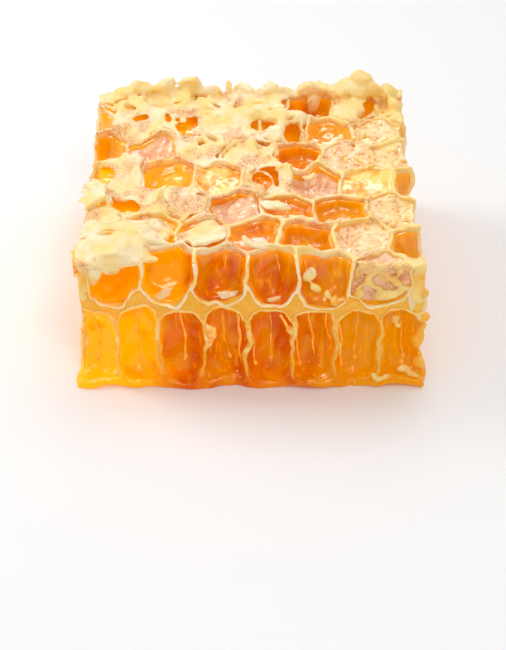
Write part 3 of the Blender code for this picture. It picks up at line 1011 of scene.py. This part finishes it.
class StageSettings(bpy.types.PropertyGroup):
    """The camera and the light."""

    lens: FloatProperty(name="Lens", description="Focal length in millimetres", default=93.4)
    pitch: FloatProperty(
        name="Pitch", description="How far the camera looks down", unit="ROTATION",
        default=math.radians(37.04),
    )
    yaw: FloatProperty(
        name="Yaw", description="How far it turns to the left", default=math.radians(-1.13), unit="ROTATION"
    )
    roll: FloatProperty(
        name="Roll", description="How far it leans", default=math.radians(0.90), unit="ROTATION"
    )
    place: FloatVectorProperty(
        name="Place", description="Where the camera stands", subtype="XYZ", size=3, unit="LENGTH",
        default=(-3.0 * MM, -178.9 * MM, 128.9 * MM),
    )
    floor: FloatVectorProperty(
        name="Floor", description="Colour of the floor", subtype="COLOR", size=3, default=(0.9, 0.9, 0.9)
    )
    daylight: FloatProperty(name="Daylight", description="Strength of the even light", default=0.6)


# ---------------------------------------------------------------- pieces


class COMB_OT_rims(bpy.types.Operator):
    """Model the walls above the midrib, with their rims"""

    bl_idname = "comb.rims"
    bl_label = "Rims"

    def execute(self, context):
        settings = context.scene.comb
        wax = begin("rims")
        draw_block(WIDTH, DEPTH, UPPER_FLOOR, TOP - 0.1 * MM)
        close_up(wax)
        hollows = begin("hollows")
        draw_block(WIDTH - 2 * RIB_DEPTH, DEPTH - 2 * RIB_DEPTH, UPPER_FLOOR - BEYOND, TOP - 2.4 * MM)
        for cell in UPPER_CELLS:
            line = drawn_in(cell, 0.16 * MM)
            if cell.cut:
                line = open_to_side(line, cell.cut)
            rim = [(TOP - 0.7 * MM, 1.0), (TOP - 0.4 * MM, 0.975), (TOP + BEYOND, 0.975)]
            draw_column(line, cell.centre, [(UPPER_FLOOR - 1.0 * MM, 1.0), *rim])
        carve(wax, close_up(hollows))
        melt(wax, settings.voxel, 2)
        bend(wax, settings.wander)
        heave(wax, settings.heave)
        roughen(wax, 0.9 * MM, 0.4 * MM)
        place_piece(wax, cream_wax_material("rim_wax", -1.2, settings), "cream_wax", "upper_wax")
        return {"FINISHED"}


class COMB_OT_cappings(bpy.types.Operator):
    """Model the cream cappings, torn here and there, with their drips and crumbs"""

    bl_idname = "comb.cappings"
    bl_label = "Cappings"

    def execute(self, context):
        settings = context.scene.comb
        draw = random.Random(settings.seed)
        lids = begin("cappings")
        for cell in UPPER_CELLS:
            if cell.mouth != "c":
                continue
            line = clip_to_block(drawn_in(cell, draw.uniform(-0.3, 0.15) * MM), 0.1 * MM)
            low = TOP + draw.uniform(-0.9, -0.5) * MM
            top = low + draw.uniform(0.5, 0.8) * MM
            dish = top + draw.uniform(-0.5, 0.5) * MM
            turn = Vector((draw.uniform(-0.6, 0.6), draw.uniform(-0.6, 0.6))) * MM
            levels = [(low, 1.0), (top, 1.0), (top + 0.05 * MM, 0.85), (dish, 0.45)]
            draw_column(line, cell.centre + turn, levels)
            lean_column(cell.centre, low, draw.uniform(-0.16, 0.24), draw.uniform(-0.2, 0.2))
        close_up(lids)

        tears = begin("tears")
        for x, y, across, along, turn in TEARS:
            size = Vector((across, along, 3.4)) * MM
            draw_blob(on_block(x, y), size, (0, 0, turn))
        for cell in UPPER_CELLS:
            sides = list(zip(cell.border, cell.border[1:] + cell.border[:1]))
            for start, end in draw.sample(sides, 3) if cell.mouth == "c" else ():
                place = cell.centre.lerp(start.lerp(end, draw.uniform(0.3, 0.7)), draw.uniform(0.75, 0.95))
                size = Vector((draw.uniform(1.2, 2.8), draw.uniform(0.35, 0.8), 3.0)) * MM
                along = end - start
                draw_blob((*place, TOP), size, (0, 0, math.atan2(along.y, along.x)))
            for _ in range(2 if cell.mouth == "c" else 0):
                place = cell.centre.lerp(draw.choice(cell.border), draw.uniform(0.1, 0.6))
                size = Vector((draw.uniform(0.3, 0.8), draw.uniform(0.3, 0.6), 3.0)) * MM
                draw_blob((*place, TOP + 0.1 * MM), size, (0, 0, draw.uniform(0, math.pi)), 1)
        carve(lids, close_up(tears))

        lumps = begin("lumps")
        for x, y, z, *size in LUMPS:
            turn = [draw.uniform(-0.5, 0.5) for _ in range(3)]
            draw_blob(on_block(x, y, z), Vector(size) * MM, turn)
        for _ in range(150):
            place = draw.choice([cell for cell in UPPER_CELLS if cell.mouth in "cs"])
            place = place.centre.lerp(draw.choice(place.border), draw.uniform(0.1, 1.1))
            if inward(place) > 0.3 * MM:
                size = Vector((draw.uniform(0.4, 1.5), draw.uniform(0.3, 1.0), draw.uniform(0.3, 0.8))) * MM
                height = TOP + draw.uniform(-0.3, 0.1) * MM
                draw_blob((*place, height), size, (0, 0, draw.uniform(0, math.pi)))
        join(lids, close_up(lumps))
        melt(lids, settings.voxel, 2)
        bend(lids, settings.wander)
        heave(lids, settings.heave)
        roughen(lids, 2.2 * MM, 0.9 * MM)
        roughen(lids, 0.7 * MM, 0.4 * MM)
        place_piece(lids, cream_wax_material("cream_wax", -1.9, settings), "cream_wax", "upper_wax")
        return {"FINISHED"}


class COMB_OT_sunken_caps(bpy.types.Operator):
    """Model the cappings that sit a little below their rims: frosted ones, wet ones and yellow films"""

    bl_idname = "comb.sunken_caps"
    bl_label = "Sunken Caps"

    def execute(self, context):
        settings = context.scene.comb
        draw = random.Random(settings.seed + 1)
        kinds = (
            ("frosted_caps", "s", 1.25, frosted_wax_material),
            ("wet_caps", "wk", 1.9, wet_wax_material),
            ("films", "y", 1.3, film_material),
        )
        for name, mouths, depth, material in kinds:
            cells = [cell for cell in UPPER_CELLS if cell.mouth in mouths]
            lids = begin(name)
            for cell in cells:
                line = drawn_in(cell, -0.1 * MM)
                if cell.mouth == "k":
                    line = clip_to_block(line, 0.55 * MM)
                    draw_column(line, cell.centre, [(UPPER_FLOOR - 0.2 * MM, 1.0), (TOP - 0.6 * MM, 1.0)])
                    continue
                line = clip_to_block(line, 0.3 * MM)
                low = TOP - depth * MM
                draw_column(line, cell.centre, [(low, 1.0), (low + 0.8 * MM, 1.0), (low + 0.5 * MM, 0.5)])
                lean_column(cell.centre, low, draw.uniform(-0.1, 0.16), draw.uniform(-0.12, 0.12))
            close_up(lids)
            tears = begin("tears")
            for cell in cells:
                for _ in range(draw.choice((1, 1, 2)) if cell.mouth != "k" else 0):
                    place = cell.centre.lerp(draw.choice(cell.border), draw.uniform(0.6, 0.9))
                    size = Vector((draw.uniform(0.8, 1.8), draw.uniform(0.5, 1.1), 4.0)) * MM
                    draw_blob((*place, TOP), size, (0, 0, draw.uniform(0, math.pi)))
            carve(lids, close_up(tears))
            melt(lids, settings.voxel, 2)
            bend(lids, settings.wander)
            heave(lids, settings.heave)
            roughen(lids, 1.5 * MM, 0.3 * MM if mouths == "y" else 0.9 * MM)
            roughen(lids, 0.6 * MM, 0.1 * MM if mouths == "y" else 0.35 * MM)
            place_piece(lids, material(settings), "cream_wax", "upper_wax")
        return {"FINISHED"}


class COMB_OT_mouth_edges(bpy.types.Operator):
    """Model the pale cut edges of the walls, round the mouths of the cut cells"""

    bl_idname = "comb.mouth_edges"
    bl_label = "Mouth Edges"

    def execute(self, context):
        settings = context.scene.comb
        layers = (
            ("upper_edges", UPPER_CELLS, UPPER_NICHE, cream_edge_material),
            ("lower_edges", LOWER_CELLS, ((-BEYOND, 1.0), *LOWER_NICHE[3:]), golden_edge_material),
        )
        for name, cells, niche, material in layers:
            edges = begin(name)
            draw_block(WIDTH + 0.24 * MM, DEPTH + 0.24 * MM, BASE - 0.1 * MM, TOP - 0.4 * MM)
            close_up(edges)
            core = begin("core")
            draw_block(WIDTH - 0.9 * MM, DEPTH - 0.9 * MM, 0.0, TOP + BEYOND)
            combine(edges, close_up(core), "DIFFERENCE")
            cut = [cell for cell in cells if cell.cut]
            for inset, spread, operation in ((0.03, 0.32, "INTERSECT"), (0.2, 0.0, "DIFFERENCE")):
                columns = begin("columns")
                for cell in cut:
                    line = open_to_side(drawn_in(cell, inset * MM), cell.cut)
                    middle = (niche[0][0] + niche[-1][0]) / 2
                    levels = [(z + math.copysign(spread * MM, z - middle), share) for z, share in niche]
                    draw_column(line, cell.centre, levels)
                close_up(columns)
                combine(edges, columns, operation)
            melt(edges, 0.15 * MM, 1)
            bend(edges, settings.wander)
            if niche is UPPER_NICHE:
                heave(edges, settings.heave)
            roughen(edges, 0.8 * MM, 0.4 * MM)
            place_piece(edges, material(settings), "cream_wax")
        return {"FINISHED"}


class COMB_OT_flakes(bpy.types.Operator):
    """Model the flakes of wax that stand or hang on the block"""

    bl_idname = "comb.flakes"
    bl_label = "Flakes"

    def execute(self, context):
        settings = context.scene.comb
        kinds = ((0, "yellow_flakes", film_material), (1, "pale_flakes", pale_flake_material))
        for pale, name, material in kinds:
            flakes = begin(name)
            for kind, *corners in FLAKES:
                if kind == pale:
                    draw_sheet([on_block(*corner) for corner in corners], settings.flake)
            close_up(flakes)
            melt(flakes, 0.13 * MM, 2)
            roughen(flakes, 1.4 * MM, 0.8 * MM)
            place_piece(flakes, material(settings), "cream_wax")
        return {"FINISHED"}


class COMB_OT_threads(bpy.types.Operator):
    """Model the pale corners of the cells, seen through the honey that coats them"""

    bl_idname = "comb.threads"
    bl_label = "Threads"

    def execute(self, context):
        settings = context.scene.comb
        draw = random.Random(settings.seed + 2)
        threads = begin("threads")
        layers = (
            (UPPER_CELLS, TOP - 3.4 * MM, TOP - 1.0 * MM, 0.15, 0.3),
            (LOWER_CELLS, BASE + 0.2 * MM, LOWER_CEILING + 0.2 * MM, 0.7, 0.4),
        )
        for cells, low, high, slant, width in layers:
            for cell in cells:
                corners = drawn_in(cell, settings.film + 0.25 * MM)
                deepest = max(corners, key=inward)
                for corner in corners if cell.cut else ():
                    if corner != deepest and (inward(corner) < 1.2 * MM or draw.random() < 0.75):
                        continue
                    lean = Vector((draw.uniform(0.2, 1.0) * slant, draw.uniform(-0.1, 0.1))) * MM
                    path = [(*(corner + lean), low), (*corner, (low + high) / 2), (*(corner - lean), high)]
                    draw_thread(path, draw.uniform(0.6, 1.0) * width * MM)
                    if slant > 0.5:
                        size = Vector((0.6, 0.5, draw.uniform(0.7, 1.4))) * MM
                        draw_blob((*(corner + lean), low + 0.4 * MM), size)
        drip = [(3.2 * MM, -20.0 * MM, LOWER_CEILING), (4.4 * MM, -20.1 * MM, LOWER_CEILING - 2.4 * MM)]
        draw_thread(drip, 0.5 * MM)
        close_up(threads)
        melt(threads, 0.14 * MM, 2)
        bend(threads, settings.wander * 0.7)
        place_piece(threads, thread_material(settings), "golden_wax")
        return {"FINISHED"}


class COMB_OT_upper_honey(bpy.types.Operator):
    """Model the honey above the midrib, with pools in the open cells"""

    bl_idname = "comb.upper_honey"
    bl_label = "Upper Honey"

    def execute(self, context):
        settings = context.scene.comb
        honey = begin("upper_honey_piece")
        inset = 0.5 * MM
        draw_block(WIDTH - 2 * inset, DEPTH - 2 * inset, UPPER_FLOOR - 1.0 * MM, TOP - 0.8 * MM)
        close_up(honey)
        hollows = begin("hollows")
        for cell in UPPER_CELLS:
            line = drawn_in(cell, settings.film)
            above = TOP + BEYOND
            if cell.cut:
                ceiling = TOP - 1.0 * MM if cell.mouth in SEALED else above
                steps = [(UPPER_FLOOR - 0.3 * MM, 0.3), (UPPER_FLOOR + 0.4 * MM, 0.66)]
                steps += [(UPPER_FLOOR + 1.4 * MM, 0.92), (UPPER_FLOOR + 2.4 * MM, 1.0), (ceiling, 1.0)]
                draw_column(open_to_side(line, cell.cut), cell.centre, steps)
            else:
                pool = TOP - POOLS[cell.mouth] * MM
                draw_column(line, cell.centre, [(pool, 0.85), (pool + 0.4 * MM, 1.0), (above, 1.0)])
        combine(honey, close_up(hollows), "DIFFERENCE")
        melt(honey, settings.honey_voxel, 8)
        modify(honey, "DECIMATE", ratio=0.6)
        bend(honey, settings.wander)
        heave(honey, settings.heave * 0.5)
        place_piece(honey, honey_material("amber_honey", settings), "amber_honey", "upper_honey")
        return {"FINISHED"}


class COMB_OT_midrib(bpy.types.Operator):
    """Model the wavy wax floor between the layers"""

    bl_idname = "comb.midrib"
    bl_label = "Midrib"

    def execute(self, context):
        settings = context.scene.comb
        midrib = begin("midrib_piece")
        draw_block(WIDTH, DEPTH, LOWER_CEILING - 1.2 * MM, UPPER_FLOOR + 2.2 * MM)
        close_up(midrib)
        hollows = begin("hollows")
        for cells, niche in ((UPPER_CELLS, UPPER_NICHE), (LOWER_CELLS, LOWER_NICHE)):
            for cell in cells:
                if cell.cut:
                    line = open_to_side(drawn_in(cell, 0.22 * MM), cell.cut)
                    draw_column(line, cell.centre, niche)
        carve(midrib, close_up(hollows))
        melt(midrib, settings.voxel, 8)
        modify(midrib, "DECIMATE", ratio=0.6)
        bend(midrib, settings.wander)
        roughen(midrib, 2.0 * MM, 0.25 * MM)
        place_piece(midrib, golden_wax_material(settings), "golden_wax", "midrib")
        return {"FINISHED"}


class COMB_OT_lower_wax(bpy.types.Operator):
    """Model the ribs and the foot below the midrib"""

    bl_idname = "comb.lower_wax"
    bl_label = "Lower Wax"

    def execute(self, context):
        settings = context.scene.comb
        wax = begin("ribs")
        draw_block(WIDTH, DEPTH, 0.05 * MM, LOWER_CEILING + 0.2 * MM, 0.5 * MM)
        close_up(wax)
        core = begin("core")
        draw_block(WIDTH - 2 * RIB_DEPTH, DEPTH - 2 * RIB_DEPTH, BASE, LOWER_CEILING + BEYOND)
        combine(wax, close_up(core), "DIFFERENCE")
        hollows = begin("hollows")
        for cell in LOWER_CELLS:
            if cell.cut:
                line = open_to_side(drawn_in(cell, 0.19 * MM), cell.cut)
                draw_column(line, cell.centre, [*LOWER_NICHE[:4], (LOWER_CEILING + BEYOND, 0.98)])
            elif cell.mouth in "so":
                depth = 0.6 if cell.mouth == "s" else 1.2
                line = drawn_in(cell, 0.3 * MM)
                draw_column(line, cell.centre, [(-BEYOND, 1.0), (0.0, 1.0), (depth * MM, 0.75)])
        combine(wax, close_up(hollows), "DIFFERENCE")
        lip = begin("lip")
        outline = [Vector((x * (WIDTH / 2 + 0.8 * MM), y * (DEPTH / 2 + 0.7 * MM))) for x, y in CORNERS]
        draw_column(outline, Vector((0, 0)), [(0.05 * MM, 0.985), (0.5 * MM, 1.0), (1.1 * MM, 0.97)])
        join(wax, close_up(lip))
        beads = begin("beads")
        for x, y, z, *size in BEADS:
            draw_blob(on_block(x, y, z), Vector(size) * MM, (0.2, 0.3, 0.0))
        join(wax, close_up(beads))
        melt(wax, settings.voxel, 4)
        modify(wax, "DECIMATE", ratio=0.75)
        bend(wax, settings.wander)
        roughen(wax, 1.3 * MM, 0.3 * MM)
        rest_flat(wax)
        place_piece(wax, golden_wax_material(settings), "golden_wax", "lower_wax")
        return {"FINISHED"}


class COMB_OT_lower_honey(bpy.types.Operator):
    """Model the honey below the midrib, hollowed where the cells are cut"""

    bl_idname = "comb.lower_honey"
    bl_label = "Lower Honey"

    def execute(self, context):
        settings = context.scene.comb
        honey = begin("lower_honey_piece")
        inset = 0.45 * MM
        draw_block(WIDTH - 2 * inset, DEPTH - 2 * inset, 0.7 * MM, LOWER_CEILING + 0.8 * MM, 0.5 * MM)
        close_up(honey)
        hollows = begin("hollows")
        for cell in LOWER_CELLS:
            if cell.cut:
                line = open_to_side(drawn_in(cell, settings.film), cell.cut)
                steps = [(BASE - 0.7 * MM, 0.5), (BASE - 0.1 * MM, 0.85), (BASE + 1.2 * MM, 1.0)]
                steps += [(LOWER_CEILING - 1.0 * MM, 1.0), (LOWER_CEILING + 0.1 * MM, 0.8)]
                steps += [(LOWER_CEILING + 0.6 * MM, 0.5)]
                draw_column(line, cell.centre, steps)
        combine(honey, close_up(hollows), "DIFFERENCE")
        melt(honey, settings.honey_voxel, 8)
        modify(honey, "DECIMATE", ratio=0.6)
        bend(honey, settings.wander)
        place_piece(honey, honey_material("golden_honey", settings), "golden_honey", "lower_honey")
        return {"FINISHED"}


class COMB_OT_stage(bpy.types.Operator):
    """Set up the floor, the light and the camera"""

    bl_idname = "comb.stage"
    bl_label = "Stage"

    def execute(self, context):
        settings = context.scene.comb_stage
        bpy.ops.object.select_all(action="DESELECT")
        bpy.ops.mesh.primitive_plane_add(size=1.6, location=(0, 0.2, 0))
        floor = context.object
        floor.name = "floor"
        bpy.ops.object.transform_apply(location=True)
        paint = Paint("floor")
        floor.data.materials.append(
            paint.finish(Base_Color=opaque(settings.floor), Roughness=0.6, Specular_IOR_Level=0.2)
        )

        world = bpy.data.worlds.new("daylight")
        world.use_nodes = True
        world.node_tree.nodes["Background"].inputs["Color"].default_value = (1.0, 1.0, 1.0, 1.0)
        world.node_tree.nodes["Background"].inputs["Strength"].default_value = settings.daylight
        context.scene.world = world

        lamps = (
            ("window", (-0.20, 0.06, 0.14), 0.12, 0.22, True),
            ("skylight", (0.05, 0.10, 0.30), 0.20, 0.22, True),
            ("front", (0.06, -0.20, 0.26), 0.08, 0.17, True),
            ("overhead_shine", (-0.02, -0.04, 0.30), 0.12, 0.60, False),
            ("rear_shine", (0.02, 0.30, 0.22), 0.14, 0.35, False),
        )
        aim = Vector((0.0, 0.0, 0.009))
        for name, place, size, power, lights_all in lamps:
            bpy.ops.object.light_add(type="AREA", location=place)
            lamp = context.object
            lamp.name = name
            lamp.data.shape = "SQUARE"
            lamp.data.size = size
            lamp.data.energy = power
            lamp.visible_diffuse = lights_all
            lamp.rotation_euler = (aim - Vector(place)).to_track_quat("-Z", "Y").to_euler()

        bpy.ops.object.camera_add(location=settings.place)
        camera = context.object
        camera.name = "camera"
        camera.data.lens = settings.lens
        camera.data.clip_start = 0.01
        ahead = Vector((0, math.cos(settings.pitch), -math.sin(settings.pitch)))
        up = Vector((0, math.sin(settings.pitch), math.cos(settings.pitch)))
        side = Vector((1, 0, 0))
        turn = Matrix.Rotation(settings.yaw, 3, "Z")
        ahead, up, side = turn @ ahead, turn @ up, turn @ side
        lean = settings.roll
        side, up = side * math.cos(lean) + up * math.sin(lean), up * math.cos(lean) - side * math.sin(lean)
        facing = Matrix((side, up, -ahead)).transposed()
        camera.rotation_euler = facing.to_euler()
        context.scene.camera = camera
        context.scene.view_settings.view_transform = "Standard"
        return {"FINISHED"}


class COMB_PT_panel(bpy.types.Panel):
    """The pieces of the comb, in the order they are made"""

    bl_idname = "COMB_PT_panel"
    bl_label = "Comb Honey"
    bl_space_type = "VIEW_3D"
    bl_region_type = "UI"
    bl_category = "Comb Honey"

    def draw(self, context):
        for operator in OPERATORS:
            self.layout.operator(operator.bl_idname)


OPERATORS = (
    COMB_OT_rims,
    COMB_OT_cappings,
    COMB_OT_sunken_caps,
    COMB_OT_upper_honey,
    COMB_OT_midrib,
    COMB_OT_lower_wax,
    COMB_OT_lower_honey,
    COMB_OT_threads,
    COMB_OT_mouth_edges,
    COMB_OT_flakes,
    COMB_OT_stage,
)
CLASSES = (CombSettings, StageSettings, *OPERATORS, COMB_PT_panel)


def register():
    for known in CLASSES:
        bpy.utils.register_class(known)
    bpy.types.Scene.comb = PointerProperty(type=CombSettings)
    bpy.types.Scene.comb_stage = PointerProperty(type=StageSettings)


def unregister():
    del bpy.types.Scene.comb_stage
    del bpy.types.Scene.comb
    for known in reversed(CLASSES):
        bpy.utils.unregister_class(known)


def main():
    """Make every piece."""
    register()
    bpy.ops.comb.rims()
    bpy.ops.comb.cappings()
    bpy.ops.comb.sunken_caps()
    bpy.ops.comb.upper_honey()
    bpy.ops.comb.midrib()
    bpy.ops.comb.lower_wax()
    bpy.ops.comb.lower_honey()
    bpy.ops.comb.threads()
    bpy.ops.comb.mouth_edges()
    bpy.ops.comb.flakes()
    bpy.ops.comb.stage()


if __name__ == "__main__":
    main()
